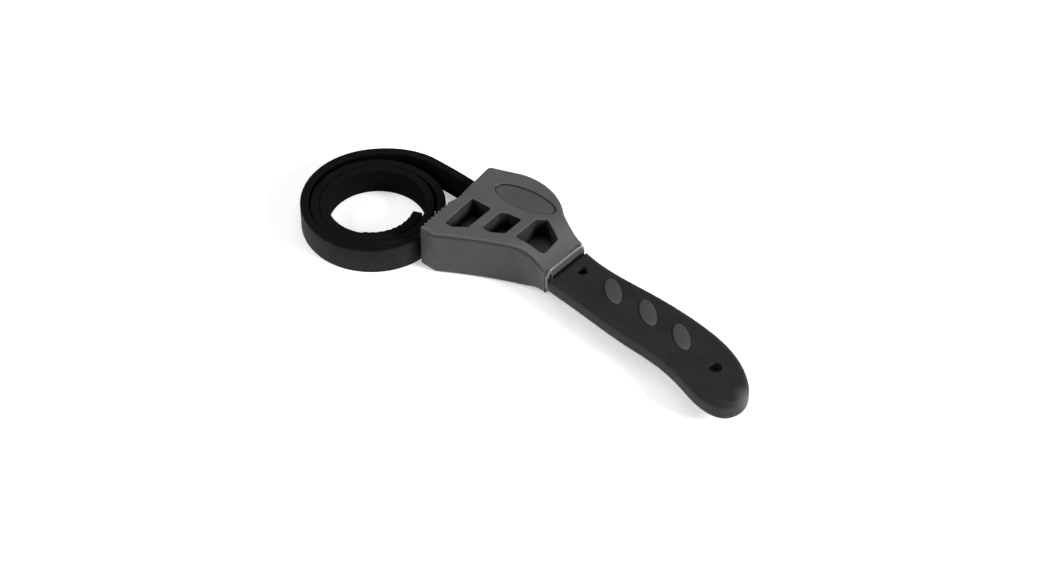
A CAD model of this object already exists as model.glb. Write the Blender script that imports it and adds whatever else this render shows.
import math
import bmesh
import bpy
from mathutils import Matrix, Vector


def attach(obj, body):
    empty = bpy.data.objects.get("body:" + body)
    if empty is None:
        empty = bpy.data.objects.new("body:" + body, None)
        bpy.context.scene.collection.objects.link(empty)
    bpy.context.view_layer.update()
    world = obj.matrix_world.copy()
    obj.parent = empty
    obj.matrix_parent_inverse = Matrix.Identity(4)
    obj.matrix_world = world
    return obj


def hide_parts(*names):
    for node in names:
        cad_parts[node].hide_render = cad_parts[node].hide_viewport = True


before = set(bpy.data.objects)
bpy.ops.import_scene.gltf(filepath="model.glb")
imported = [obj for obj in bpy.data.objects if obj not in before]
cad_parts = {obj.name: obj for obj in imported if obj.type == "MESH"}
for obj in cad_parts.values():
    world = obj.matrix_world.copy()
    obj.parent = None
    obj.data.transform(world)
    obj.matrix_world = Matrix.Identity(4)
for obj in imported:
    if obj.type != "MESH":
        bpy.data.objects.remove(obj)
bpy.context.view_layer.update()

# Rubber strap wrench lying on a pale floor. Metres, +Z up, in the frame of the packed
# model: +X runs along the handle, and the strap's anchor pin stands at the origin.
# Each piece made here takes the place and the sizes of its own CAD node.
MM = 0.001

# ---------------------------------------------------------------- strap sizes
MID = 14.0 * MM                  # half the head's height: its parting line, and the strap's middle
PIN_RADIUS = 2.06 * MM           # the anchor pin with its running gap
PIN_BORE_LONG = 40.0 * MM
PIN_BORE_SIDES = 48

STRAP_WIDTH = 16.0 * MM
STRAP_THICK = 4.8 * MM
STRAP_CORNER = 0.55 * MM
STRAP_STEP = 1.1 * MM            # from one cross-section to the next
EYE_RADIUS = 4.8 * MM            # outside of the eye round the anchor pin
EYE_END_HALF = STRAP_CORNER * 1.2
LEVEL_RUN = 9.0 * MM             # from the pin to where the strap starts to sink

COIL = Vector((-41.9, -48.1, 0.0)) * MM
COIL_PITCH = 5.1 * MM            # from one turn to the next
COIL_END_RADIUS = 26.2 * MM      # at the tail
COIL_END_ANGLE = 1112.0          # degrees round the coil, growing toward the tail
STAND_OFF = 4.8 * MM             # gap that the outer turn leaves at its start
STAND_OFF_START = 105.0
STAND_OFF_SPAN = 162.0
BULGE = 1.3 * MM                 # slack bow in the second turn
BULGE_ANGLE = 415.0
BULGE_SPAN = 55.0
SAG_END_ANGLE = 146.0            # where the strap's lower edge reaches the floor
SAG_MIDDLE_ANGLE = 120.0         # halfway down the coil's part of that slope

TAIL_SPRING = 0.55 * MM          # how far the tip of the tail springs inward
RIBBED_LENGTH = 40.0 * MM
RIB_PITCH = 4.4 * MM
RIB_HEIGHT = 1.1 * MM
RIB_FOOT = 0.45                  # share of the height that is left between two ribs
RIB_STEEP = 0.3                  # share of the pitch under a rib's steep flank
LEVEL_FACE = 0.8                 # a face whose normal has more Z than this lies level
STRAP_CRISP = 50.0               # an edge that turns by more degrees than this stays crisp

# ------------------------------------------------------- ferrule and buttons
COLLAR = Vector((66.0, -3.0, 14.0)) * MM
COLLAR_ANGLE = 7.6
FERRULE_LONG = 31.8 * MM
FERRULE_HIGH = 17.0 * MM
FERRULE_ROUND = 5.0 * MM
FERRULE_WIDTH = 3.0 * MM
FERRULE_WALL = 2.4 * MM
FERRULE_CHAMFER = 0.15 * MM
FERRULE_HOLLOW = 0.42 * MM       # depth of the hollow between the rims
FERRULE_RIM = (                  # one rim, from its side to the hollow: distance in, depth
    (0.0, 0.35 * MM), (0.12 * MM, 0.1 * MM), (0.35 * MM, 0.0), (0.62 * MM, 0.08 * MM),
    (0.85 * MM, 0.34 * MM))
FERRULE_CORNER_STEPS = 14
CORE_ROUND = 0.001 * MM          # all but sharp corners, at the middles of the ferrule's rounds
MOULDED_CRISP = 60.0

BUTTONS = ((102.3, 0.0), (127.0, 2.6), (152.2, 3.3))
BUTTON_MAJOR = 10.1 * MM
BUTTON_MINOR = 4.4 * MM
BUTTON_ANGLE = 149.5
BUTTON_TOP = 6.6 * MM            # from mid height to the foot of the dome
BUTTON_DOME = 0.75 * MM
BUTTON_GAP = 0.05 * MM
BUTTON_SIDES = 64
BUTTON_ROWS = (                  # share of the oval, share of the dome's height
    (1.0, -0.2), (1.0, 0.1), (0.97, 0.28), (0.92, 0.44), (0.82, 0.62), (0.66, 0.80),
    (0.45, 0.93), (0.22, 0.99))

# -------------------------------------------------------------- camera, light
CAMERA_PLACE = (0.9482, -0.8123, 1.1358)
CAMERA_TARGET = (0.0518, -0.0192, 0.0)
CAMERA_LENS = 102.96
CAMERA_SENSOR = 36.0
CAMERA_NEAR = 0.05
CAMERA_FAR = 20.0

WORLD_STRENGTH = 0.08
LIGHT_AIM = (0.05, -0.02, 0.0)
LIGHTS = (                       # name, place, width and length, watts
    ("right_light", (1.58, 0.60, 0.86), (0.55, 0.55), 48.0),
    ("left_light", (-1.00, -1.20, 1.25), (1.0, 0.9), 20.0),
    ("top_light", (0.05, 0.1, 1.7), (1.1, 1.1), 7.0))

FLOOR_HALF = 3.0
FLOOR_DROP = 0.05 * MM           # keeps the floor off the tool's underside
FLOOR_GLOW = 0.42


def grey(level, blue):
    """A grey whose blue is set on its own, for a slightly cool cast."""
    return (level, level, blue)


# ------------------------------------------------------------- colours, masks
WHITE = grey(1.0, 1.0)
PAPER_WHITE = grey(0.90, 0.90)

HEAD_BODY = grey(0.072, 0.075), grey(0.086, 0.089)
HEAD_BADGE = grey(0.060, 0.0624)
HEAD_SIDES = grey(0.0250, 0.0263)
HEAD_RUBBED = grey(0.150, 0.153)
HEAD_CREASE = grey(0.018, 0.019)
HEAD_DEEP = grey(0.007, 0.0073)
HEAD_SEAM = grey(0.03, 0.031)
BUTTON_BODY = grey(0.036, 0.038), grey(0.050, 0.052)
GRIP_SKIN = grey(0.0140, 0.0148), grey(0.0205, 0.0214)
GRIP_SIDES = grey(0.0265, 0.0275)
GRIP_RUBBED = grey(0.066, 0.068)
GRIP_CREASE = grey(0.002, 0.0021)
STRAP_OUTER = grey(0.0022, 0.0024), grey(0.0044, 0.0047)
STRAP_EDGES = grey(0.0022, 0.0024), grey(0.0040, 0.0043)
STRAP_INSIDE = grey(0.0046, 0.0049), grey(0.0076, 0.0081)
STRAP_RUBBED = grey(0.009, 0.0095)
STRAP_DEEP = grey(0.0002, 0.0002)
FERRULE_DULL = grey(0.17, 0.173)
FERRULE_SCUFFED = grey(0.24, 0.243)
FERRULE_POLISHED = grey(0.80, 0.805)
BLACKED_STEEL = grey(0.016, 0.017)
PIN_STEEL = grey(0.42, 0.43)
BRASS = (0.60, 0.43, 0.18)

BADGE_FLOOR = Vector((21.5, 8.2, 27.1)) * MM     # the middle of the badge recess
GRIP_BUTT = Vector((205.2, -1.0, 16.6)) * MM     # the corner of the handle's end that rubs most
MOST = (0.3, 0.7)                # most of a noise's values lie between these
UPPER = (0.35, 0.75)             # the upper part of them
EDGE_TURN = (0.995, 0.90)        # dot product of two normals: flat, and well rounded
BEVEL_SAMPLES = 4
SHADE_SAMPLES = 8
LINE_CORE = 0.4                  # share of a line that is at full strength
NEAR_CORE = 0.2                  # share of a patch that is at full strength


# -------------------------------------------------------------------- camera
def make_camera():
    data = bpy.data.cameras.new("camera")
    data.sensor_width = CAMERA_SENSOR
    data.lens = CAMERA_LENS
    data.clip_start = CAMERA_NEAR
    data.clip_end = CAMERA_FAR
    camera = bpy.data.objects.new("camera", data)
    camera.location = CAMERA_PLACE
    aim = Vector(CAMERA_TARGET) - Vector(CAMERA_PLACE)
    camera.rotation_euler = aim.to_track_quat("-Z", "Y").to_euler()
    bpy.context.scene.collection.objects.link(camera)
    bpy.context.scene.camera = camera


# ----------------------------------------------------------------- materials
class Shader:
    """A Principled material with short calls for the nodes that the finishes share."""

    def __init__(self, name, specular=0.5, metallic=0.0):
        self.material = bpy.data.materials.new(name)
        self.material.use_nodes = True
        self.tree = self.material.node_tree
        self.surface = self.tree.nodes["Principled BSDF"]
        self.give("Metallic", metallic)
        self.give("Specular IOR Level", specular)
        self.place = self.node("ShaderNodeTexCoord").outputs["Object"]
        self.normal = None

    def node(self, kind, **values):
        made = self.tree.nodes.new(kind)
        for key, value in values.items():
            setattr(made, key, value)
        return made

    def link(self, source, target):
        self.tree.links.new(source, target)

    def fill(self, socket, value):
        """Sets a socket to a number or a colour, or links it to another node's output."""
        if isinstance(value, bpy.types.NodeSocket):
            self.link(value, socket)
        elif isinstance(value, tuple):
            socket.default_value = (*value, 1.0)
        else:
            socket.default_value = value

    def give(self, name, value):
        """Fills one of the surface's own sockets."""
        self.fill(self.surface.inputs[name], value)

    def noise(self, scale, detail=3.0, rough=0.5):
        made = self.node("ShaderNodeTexNoise")
        made.inputs["Scale"].default_value = scale
        made.inputs["Detail"].default_value = detail
        made.inputs["Roughness"].default_value = rough
        self.link(self.place, made.inputs["Vector"])
        return made.outputs["Fac"]

    def cells(self, scale):
        made = self.node("ShaderNodeTexVoronoi")
        made.inputs["Scale"].default_value = scale
        self.link(self.place, made.inputs["Vector"])
        return made.outputs["Distance"]

    def spread(self, source, low, high, start=0.0, end=1.0):
        """Maps start..end of a value to low..high."""
        made = self.node("ShaderNodeMapRange")
        for key, value in (("From Min", start), ("From Max", end), ("To Min", low), ("To Max", high)):
            made.inputs[key].default_value = value
        self.link(source, made.inputs["Value"])
        return made.outputs["Result"]

    def mask(self, source, start, end):
        """0 up to the start, 1 from the end."""
        return self.spread(source, 0.0, 1.0, start, end)

    def mix(self, factor, first, second):
        made = self.node("ShaderNodeMix", data_type="RGBA")
        factor_socket, first_socket, second_socket = (made.inputs[i] for i in (0, 6, 7))
        self.fill(factor_socket, factor)
        self.fill(first_socket, first)
        self.fill(second_socket, second)
        return made.outputs[2]

    def both(self, first, second):
        """1 where two masks are both 1."""
        made = self.node("ShaderNodeMath", operation="MULTIPLY")
        self.link(first, made.inputs[0])
        self.link(second, made.inputs[1])
        return made.outputs["Value"]

    def bump(self, height, distance, strength):
        """Adds relief on top of what the surface already has."""
        made = self.node("ShaderNodeBump")
        made.inputs["Strength"].default_value = strength
        made.inputs["Distance"].default_value = distance
        self.link(height, made.inputs["Height"])
        if self.normal is not None:
            self.link(self.normal, made.inputs["Normal"])
        self.normal = made.outputs["Normal"]
        self.give("Normal", self.normal)

    def height_off(self, vector, level=0.0):
        """How far a vector's Z is from a level, above or below."""
        parts = self.node("ShaderNodeSeparateXYZ")
        self.link(vector, parts.inputs["Vector"])
        away = self.node("ShaderNodeMath", operation="SUBTRACT")
        away.inputs[1].default_value = level
        self.link(parts.outputs["Z"], away.inputs[0])
        size = self.node("ShaderNodeMath", operation="ABSOLUTE")
        self.link(away.outputs["Value"], size.inputs[0])
        return size.outputs["Value"]

    def height_line(self, level, half):
        """1 on a thin band round the given height, 0 elsewhere."""
        return self.mask(self.height_off(self.place, level), half, half * LINE_CORE)

    def walls(self, start, end):
        """0 on level faces, 1 on upright ones."""
        normal = self.node("ShaderNodeNewGeometry").outputs["True Normal"]
        return self.mask(self.height_off(normal), start, end)

    def near(self, point, reach):
        """1 at a point of the object, easing to 0 at the reach."""
        away = self.node("ShaderNodeVectorMath", operation="DISTANCE")
        away.inputs[1].default_value = point
        self.link(self.place, away.inputs[0])
        return self.mask(away.outputs["Value"], reach, reach * NEAR_CORE)

    def edges(self, radius):
        """0 on flat stretches, 1 at edges: how far the normal turns within a small radius."""
        soft = self.node("ShaderNodeBevel")
        soft.samples = BEVEL_SAMPLES
        soft.inputs["Radius"].default_value = radius
        turn = self.node("ShaderNodeVectorMath", operation="DOT_PRODUCT")
        self.link(soft.outputs["Normal"], turn.inputs[0])
        self.link(self.node("ShaderNodeNewGeometry").outputs["Normal"], turn.inputs[1])
        return self.mask(turn.outputs["Value"], *EDGE_TURN)

    def hollows(self, reach, start, end):
        """0 in the open, 1 deep in a recess of about the given reach."""
        shade = self.node("ShaderNodeAmbientOcclusion", samples=SHADE_SAMPLES, only_local=True)
        shade.inputs["Distance"].default_value = reach
        return self.mask(shade.outputs["AO"], start, end)


def head_plastic():
    """Satin grey moulded plastic: fine spark-eroded grain, faint flow marks, lighter rubbed edges."""
    made = Shader("head_plastic", specular=0.4)
    flow = made.mask(made.noise(scale=38.0, detail=4.0, rough=0.55), *MOST)
    badge = made.both(made.near(BADGE_FLOOR, reach=30.0 * MM),
                      made.height_line(BADGE_FLOOR.z, half=0.5 * MM))
    faces = made.mix(badge, made.mix(flow, *HEAD_BODY), HEAD_BADGE)
    upright = made.spread(made.walls(start=0.90, end=0.70), low=0.0, high=0.9)
    sides = made.mix(upright, faces, HEAD_SIDES)
    # the two shells' edges meet at the seam, where nothing rubs them
    rubbed = made.mix(made.edges(radius=0.45 * MM), sides, HEAD_RUBBED)
    unrubbed = made.mix(made.height_line(MID, half=1.2 * MM), rubbed, sides)
    creased = made.mix(made.hollows(reach=1.3 * MM, start=0.97, end=0.72), unrubbed, HEAD_CREASE)
    shaded = made.mix(made.hollows(reach=11.0 * MM, start=0.88, end=0.40), creased, HEAD_DEEP)
    seam = made.height_line(MID, half=0.16 * MM)
    made.give("Base Color", made.mix(made.spread(seam, low=0.0, high=0.35), shaded, HEAD_SEAM))
    made.give("Roughness", made.spread(made.noise(scale=160.0), 0.40, 0.54, *MOST))
    made.bump(made.noise(scale=2600.0, detail=2.0, rough=0.6), distance=0.05 * MM, strength=0.55)
    made.bump(made.spread(seam, low=1.0, high=0.0), distance=0.12 * MM, strength=0.5)
    return made.material


def button_plastic():
    """The same plastic where it shows through the grip, dulled by handling."""
    made = Shader("button_plastic")
    made.give("Base Color", made.mix(made.noise(scale=90.0), *BUTTON_BODY))
    made.give("Roughness", made.spread(made.noise(scale=240.0), 0.44, 0.58, *MOST))
    made.bump(made.noise(scale=2400.0, detail=2.0, rough=0.6), distance=0.05 * MM, strength=0.5)
    return made.material


def grip_rubber():
    """Black soft-touch rubber: fine stipple, soft sheen, faint dust in the stipple."""
    made = Shader("grip_rubber", specular=0.12)
    made.give("Sheen Weight", 0.04)
    made.give("Sheen Roughness", 0.4)
    dust = made.mask(made.noise(scale=55.0, detail=5.0, rough=0.6), *UPPER)
    sides = made.mix(made.walls(start=0.50, end=0.25), made.mix(dust, *GRIP_SKIN), GRIP_SIDES)
    rubbed = made.mix(made.near(GRIP_BUTT, reach=8.0 * MM), sides, GRIP_RUBBED)
    creases = made.hollows(reach=2.2 * MM, start=0.75, end=0.40)
    made.give("Base Color", made.mix(creases, rubbed, GRIP_CREASE))
    made.give("Roughness", made.spread(made.noise(scale=120.0), 0.52, 0.64, *MOST))
    made.bump(made.cells(scale=1700.0), distance=0.06 * MM, strength=0.35)
    made.bump(made.noise(scale=3200.0, detail=2.0, rough=0.6), distance=0.04 * MM, strength=0.4)
    return made.material


def strap_rubber(name, colours, roughness, specular):
    """Moulded black rubber belt: matt, with faint bloom, lighter corners and black gaps."""
    made = Shader(name, specular=specular)
    bloom = made.mask(made.noise(scale=42.0, detail=5.0, rough=0.6), *UPPER)
    rubbed = made.mix(made.edges(radius=0.4 * MM), made.mix(bloom, *colours), STRAP_RUBBED)
    gaps = made.hollows(reach=14.0 * MM, start=0.55, end=0.20)
    made.give("Base Color", made.mix(gaps, rubbed, STRAP_DEEP))
    made.give("Roughness", made.spread(made.noise(scale=150.0), roughness - 0.08, roughness + 0.08, *MOST))
    made.bump(made.noise(scale=1500.0, rough=0.6), distance=0.05 * MM, strength=0.45)
    return made.material


def ferrule_plastic():
    """Smooth satin band whose two rims are polished by rubbing."""
    made = Shader("ferrule", metallic=0.35)
    worn = made.edges(radius=0.35 * MM)
    scuffs = made.spread(made.noise(scale=420.0, detail=4.0, rough=0.7), low=0.35, high=1.0,
                         start=0.35, end=0.65)
    polish = made.mix(scuffs, FERRULE_SCUFFED, FERRULE_POLISHED)
    made.give("Base Color", made.mix(worn, FERRULE_DULL, polish))
    made.give("Roughness", made.spread(worn, low=0.40, high=0.24))
    made.bump(made.noise(scale=1900.0, detail=2.0), distance=0.03 * MM, strength=0.4)
    return made.material


def metal(name, colour, roughness):
    """Plain fastener metal with fine turning marks."""
    made = Shader(name, metallic=1.0)
    made.give("Base Color", colour)
    made.give("Roughness", made.spread(made.noise(scale=700.0), roughness - 0.08, roughness + 0.1, *MOST))
    made.bump(made.noise(scale=2200.0, detail=2.0), distance=0.02 * MM, strength=0.4)
    return made.material


def floor_paper():
    """White paper with a faint glow from the light table under it."""
    made = Shader("floor_paper", specular=0.1)
    made.give("Base Color", PAPER_WHITE)
    made.give("Roughness", 0.9)
    made.give("Emission Color", WHITE)
    made.give("Emission Strength", FLOOR_GLOW)
    made.bump(made.noise(scale=300.0, detail=2.0), distance=0.02 * MM, strength=0.2)
    return made.material


# ------------------------------------------------------------- mesh helpers
def add_object(name, data):
    """Puts a new object in the scene; a mesh still being edited is written out first."""
    if isinstance(data, bmesh.types.BMesh):
        mesh = bpy.data.meshes.new(name)
        data.to_mesh(mesh)
        data.free()
        data = mesh
    made = bpy.data.objects.new(name, data)
    bpy.context.scene.collection.objects.link(made)
    return made


def new_piece(name, mesh_data, materials, body):
    """A smooth piece that moves with one body."""
    for face in mesh_data.faces:
        face.smooth = True
    bmesh.ops.recalc_face_normals(mesh_data, faces=mesh_data.faces)
    piece = add_object(name, mesh_data)
    for material in materials:
        piece.data.materials.append(material)
    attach(piece, body)
    return piece


def sharpen(piece, degrees):
    """Keeps edges crisp where the faces turn by more than the given angle."""
    piece.data.set_sharp_from_angle(angle=math.radians(degrees))


def loft(rings, closed_path=False):
    """Skins a list of closed rings; an open path gets a flat cap at each end."""
    made = bmesh.new()
    grid = [[made.verts.new(point) for point in ring] for ring in rings]
    count = len(grid[0])
    pairs = list(zip(grid, grid[1:]))
    if closed_path:
        pairs.append((grid[-1], grid[0]))
    for here, there in pairs:
        for i in range(count):
            j = (i + 1) % count
            made.faces.new((here[i], here[j], there[j], there[i]))
    if not closed_path:
        made.faces.new(reversed(grid[0]))
        made.faces.new(grid[-1])
    return made


def rounded_box(low_a, high_a, low_b, high_b, radius, steps=4):
    """Points round a rectangle with rounded corners, in its own plane."""
    points = []
    corners = ((high_a - radius, high_b - radius, 0), (low_a + radius, high_b - radius, 90),
               (low_a + radius, low_b + radius, 180), (high_a - radius, low_b + radius, 270))
    for a, b, start in corners:
        for n in range(steps + 1):
            turn = math.radians(start + 90.0 * n / steps)
            points.append((a + radius * math.cos(turn), b + radius * math.sin(turn)))
    return points


def turned_axes(degrees):
    """Level unit vectors along and to the left of a heading."""
    turn = math.radians(degrees)
    return Vector((math.cos(turn), math.sin(turn), 0.0)), Vector((-math.sin(turn), math.cos(turn), 0.0))


def up(height):
    return Vector((0.0, 0.0, height))


# --------------------------------------------------------------------- strap
def bell(angle, centre, reach):
    """1 at the centre, easing to 0 at the reach."""
    return math.cos(math.radians(90.0 * min(abs(angle - centre), reach) / reach)) ** 2


def coil_radius(angle):
    """An even spiral, wider where the outer turn stands off and where the second one bows."""
    even = COIL_END_RADIUS + (COIL_END_ANGLE - angle) * COIL_PITCH / 360.0
    stand_off = STAND_OFF * bell(max(angle, STAND_OFF_START), STAND_OFF_START, STAND_OFF_SPAN)
    return even + stand_off + BULGE * bell(angle, BULGE_ANGLE, BULGE_SPAN)


def coil_start():
    """Angle round the coil at which the straight run from the pin meets it."""
    slant = math.asin(coil_radius(STAND_OFF_START) / COIL.length)
    heading = math.degrees(math.atan2(COIL.y, COIL.x) - slant) % 360.0
    return heading - 90.0


def coil_point(angle):
    outward, _ = turned_axes(angle)
    return COIL + outward * coil_radius(angle)


def strap_line():
    """Middle line of the strap from its eye to its tail, as points a step apart."""
    angle = coil_start()
    first = coil_point(angle)
    heading = first.normalized()
    line = []
    along = -EYE_RADIUS
    while along < first.length - STRAP_STEP / 2:
        line.append(heading * along)
        along += STRAP_STEP
    while angle < COIL_END_ANGLE:
        line.append(coil_point(angle))
        angle += math.degrees(STRAP_STEP / coil_radius(angle))
    return line


def strap_distances(line):
    """Distance of each point from the pin's axis, along the strap."""
    reached = [-EYE_RADIUS]
    for here, there in zip(line, line[1:]):
        reached.append(reached[-1] + (there - here).length)
    return reached


def strap_half(distance):
    """Half the strap's thickness, which swells into the eye round the pin."""
    eye = math.sqrt(max(EYE_RADIUS ** 2 - distance ** 2, 0.0))
    return max(eye, STRAP_THICK / 2 if distance >= 0.0 else EYE_END_HALF)


def sag(distance, floor_from):
    """Height of the strap's lower edge: level in the head, then easing down to the floor."""
    share = min(max((distance - LEVEL_RUN) / (floor_from - LEVEL_RUN), 0.0), 1.0)
    return (MID - STRAP_WIDTH / 2) * (1.0 - share * share * (3.0 - 2.0 * share))


def rib_height(left):
    """How far the ribs near the tail stand off the inner face; left is the length to go."""
    if left > RIBBED_LENGTH:
        return 0.0
    tooth = ((RIBBED_LENGTH - left) / RIB_PITCH) % 1.0
    rise = min(tooth / RIB_STEEP, (1.0 - tooth) / (1.0 - RIB_STEEP))
    return RIB_HEIGHT * (RIB_FOOT + (1.0 - RIB_FOOT) * rise)


def make_strap(outer_material, edge_material, inner_material):
    """The belt standing on its edge, with ribs near its tail and the pin's bore in its eye."""
    line = strap_line()
    reached = strap_distances(line)
    start = coil_start()
    slope_on_coil = math.radians(SAG_END_ANGLE - start) * coil_radius(SAG_MIDDLE_ANGLE)
    floor_from = coil_point(start).length + slope_on_coil
    rings = []
    for index, (point, distance) in enumerate(zip(line, reached)):
        before = line[max(index - 1, 0)]
        after = line[min(index + 1, len(line) - 1)]
        forward = (after - before).normalized()
        inward = Vector((-forward.y, forward.x, 0.0))
        to_go = reached[-1] - distance
        spring = TAIL_SPRING * max(0.0, 1.0 - to_go / RIBBED_LENGTH)
        half = strap_half(distance)
        bottom = sag(distance, floor_from)
        section = rounded_box(spring - half, spring + half + rib_height(to_go),
                              bottom, bottom + STRAP_WIDTH, STRAP_CORNER)
        rings.append([point + inward * a + up(b) for a, b in section])
    finishes = (outer_material, edge_material, inner_material)
    piece = new_piece("strap_belt", loft(rings), finishes, "strap")
    bore_strap(piece)
    sharpen(piece, STRAP_CRISP)
    for face in piece.data.polygons:
        if abs(face.normal.z) > LEVEL_FACE:
            face.material_index = finishes.index(edge_material)
        elif face.normal.dot(COIL - face.center) > 0.0:
            face.material_index = finishes.index(inner_material)
    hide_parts("strap")


def bore_strap(piece):
    """Cuts the hole for the anchor pin through the strap's eye."""
    cutter_mesh = bmesh.new()
    bmesh.ops.create_cone(cutter_mesh, cap_ends=True, segments=PIN_BORE_SIDES, radius1=PIN_RADIUS,
                          radius2=PIN_RADIUS, depth=PIN_BORE_LONG)
    bmesh.ops.translate(cutter_mesh, verts=cutter_mesh.verts, vec=up(MID))
    cutter = add_object("pin_bore", cutter_mesh)
    cut = piece.modifiers.new("bore", "BOOLEAN")
    cut.operation = "DIFFERENCE"
    cut.object = cutter
    cut.solver = "EXACT"
    bpy.context.view_layer.update()
    evaluated = piece.evaluated_get(bpy.context.evaluated_depsgraph_get())
    bored = bpy.data.meshes.new_from_object(evaluated)
    piece.modifiers.remove(cut)
    piece.data = bored
    bpy.data.objects.remove(cutter)


# ------------------------------------------------------------------- ferrule
def ferrule_profile():
    """Section of the band: distance along the neck, and height over the band's outer face."""
    half = FERRULE_WIDTH / 2
    inside = [(FERRULE_CHAMFER, FERRULE_WALL), (0.0, FERRULE_WALL - FERRULE_CHAMFER)]
    side = inside + list(FERRULE_RIM)
    front = [(half - inset, -depth) for inset, depth in side]
    back = [(inset - half, -depth) for inset, depth in reversed(side)]
    return front + [(0.0, -FERRULE_HOLLOW)] + back


def make_ferrule(material):
    """Band round the neck: two polished rims with a shallow dull hollow between them."""
    axis, side = turned_axes(COLLAR_ANGLE)
    long, high = FERRULE_LONG / 2, FERRULE_HIGH / 2
    outside = rounded_box(-long, long, -high, high, FERRULE_ROUND, FERRULE_CORNER_STEPS)
    core = rounded_box(-long + FERRULE_ROUND, long - FERRULE_ROUND, -high + FERRULE_ROUND,
                       high - FERRULE_ROUND, CORE_ROUND, FERRULE_CORNER_STEPS)
    rings = []
    for (a, b), (c, d) in zip(outside, core):
        out = Vector((a - c, b - d)).normalized()
        rings.append([COLLAR + axis * forward + side * (a + out.x * rise) + up(b + out.y * rise)
                      for forward, rise in ferrule_profile()])
    piece = new_piece("ferrule_band", loft(rings, closed_path=True), (material,), "handle")
    sharpen(piece, MOULDED_CRISP)
    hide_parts("neck_ferrule")


# ------------------------------------------------------------------- buttons
def make_button(name, place, side, material):
    """Low dome on one oval boss of the tang; side is +1 above, -1 below."""
    major, minor = turned_axes(BUTTON_ANGLE)
    major *= BUTTON_MAJOR - BUTTON_GAP
    minor *= BUTTON_MINOR - BUTTON_GAP
    centre = Vector((place[0] * MM, place[1] * MM, MID + side * BUTTON_TOP))
    turns = [2.0 * math.pi * n / BUTTON_SIDES for n in range(BUTTON_SIDES)]
    made = bmesh.new()
    rows = []
    for share, height in BUTTON_ROWS:
        middle = centre + up(side * BUTTON_DOME * height)
        rows.append([made.verts.new(middle + major * (share * math.cos(turn))
                                    + minor * (share * math.sin(turn))) for turn in turns])
    for low, high in zip(rows, rows[1:]):
        for n in range(BUTTON_SIDES):
            after = (n + 1) % BUTTON_SIDES
            made.faces.new((low[n], low[after], high[after], high[n]))
    top = made.verts.new(centre + up(side * BUTTON_DOME))
    for n in range(BUTTON_SIDES):
        made.faces.new((rows[-1][n], rows[-1][(n + 1) % BUTTON_SIDES], top))
    made.faces.new(reversed(rows[0]))
    piece = new_piece(name, made, (material,), "handle")
    sharpen(piece, MOULDED_CRISP)


# --------------------------------------------------------------------- stage
def make_stage():
    """Pale floor and a dim white surround."""
    made = bmesh.new()
    bmesh.ops.create_grid(made, x_segments=1, y_segments=1, size=FLOOR_HALF)
    floor = add_object("floor", made)
    floor.data.materials.append(floor_paper())
    floor.location.z = -FLOOR_DROP

    world = bpy.data.worlds.new("studio")
    world.use_nodes = True
    background = world.node_tree.nodes["Background"]
    background.inputs["Color"].default_value = (*WHITE, 1.0)
    background.inputs["Strength"].default_value = WORLD_STRENGTH
    bpy.context.scene.world = world
    bpy.context.scene.view_settings.view_transform = "Standard"


def area_light(name, place, size, power):
    data = bpy.data.lights.new(name, "AREA")
    data.shape = "RECTANGLE"
    data.size, data.size_y = size
    data.energy = power
    light = add_object(name, data)
    light.location = place
    light.rotation_euler = (Vector(LIGHT_AIM) - Vector(place)).to_track_quat("-Z", "Y").to_euler()


# ------------------------------------------------------------------ the scene
make_camera()

strap_outer = strap_rubber("strap_rubber", STRAP_OUTER, roughness=0.60, specular=0.18)
strap_edge = strap_rubber("strap_edge", STRAP_EDGES, roughness=0.80, specular=0.10)
strap_inner = strap_rubber("strap_inner", STRAP_INSIDE, roughness=0.72, specular=0.0)
ferrule_finish = ferrule_plastic()
button_finish = button_plastic()
black_steel = metal("black_steel", BLACKED_STEEL, roughness=0.46)
finish_by_family = {              # start of a CAD node's name, finish
    "head_shell": head_plastic(), "grip": grip_rubber(), "strap": strap_outer,
    "neck": ferrule_finish, "anchor": metal("pin_steel", PIN_STEEL, roughness=0.3),
    "head_screw": black_steel, "handle_screw": black_steel, "handle_nut": black_steel,
    "head_insert": metal("insert_brass", BRASS, roughness=0.34)}

make_strap(strap_outer, strap_edge, strap_inner)
make_ferrule(ferrule_finish)
for number, middle in enumerate(BUTTONS, start=1):
    make_button("button_upper_%d" % number, middle, 1, button_finish)
    make_button("button_lower_%d" % number, middle, -1, button_finish)

for name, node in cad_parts.items():
    family = next(start for start in finish_by_family if name.startswith(start))
    for holder in node.material_slots:
        holder.material = finish_by_family[family]

make_stage()
for light in LIGHTS:
    area_light(*light)
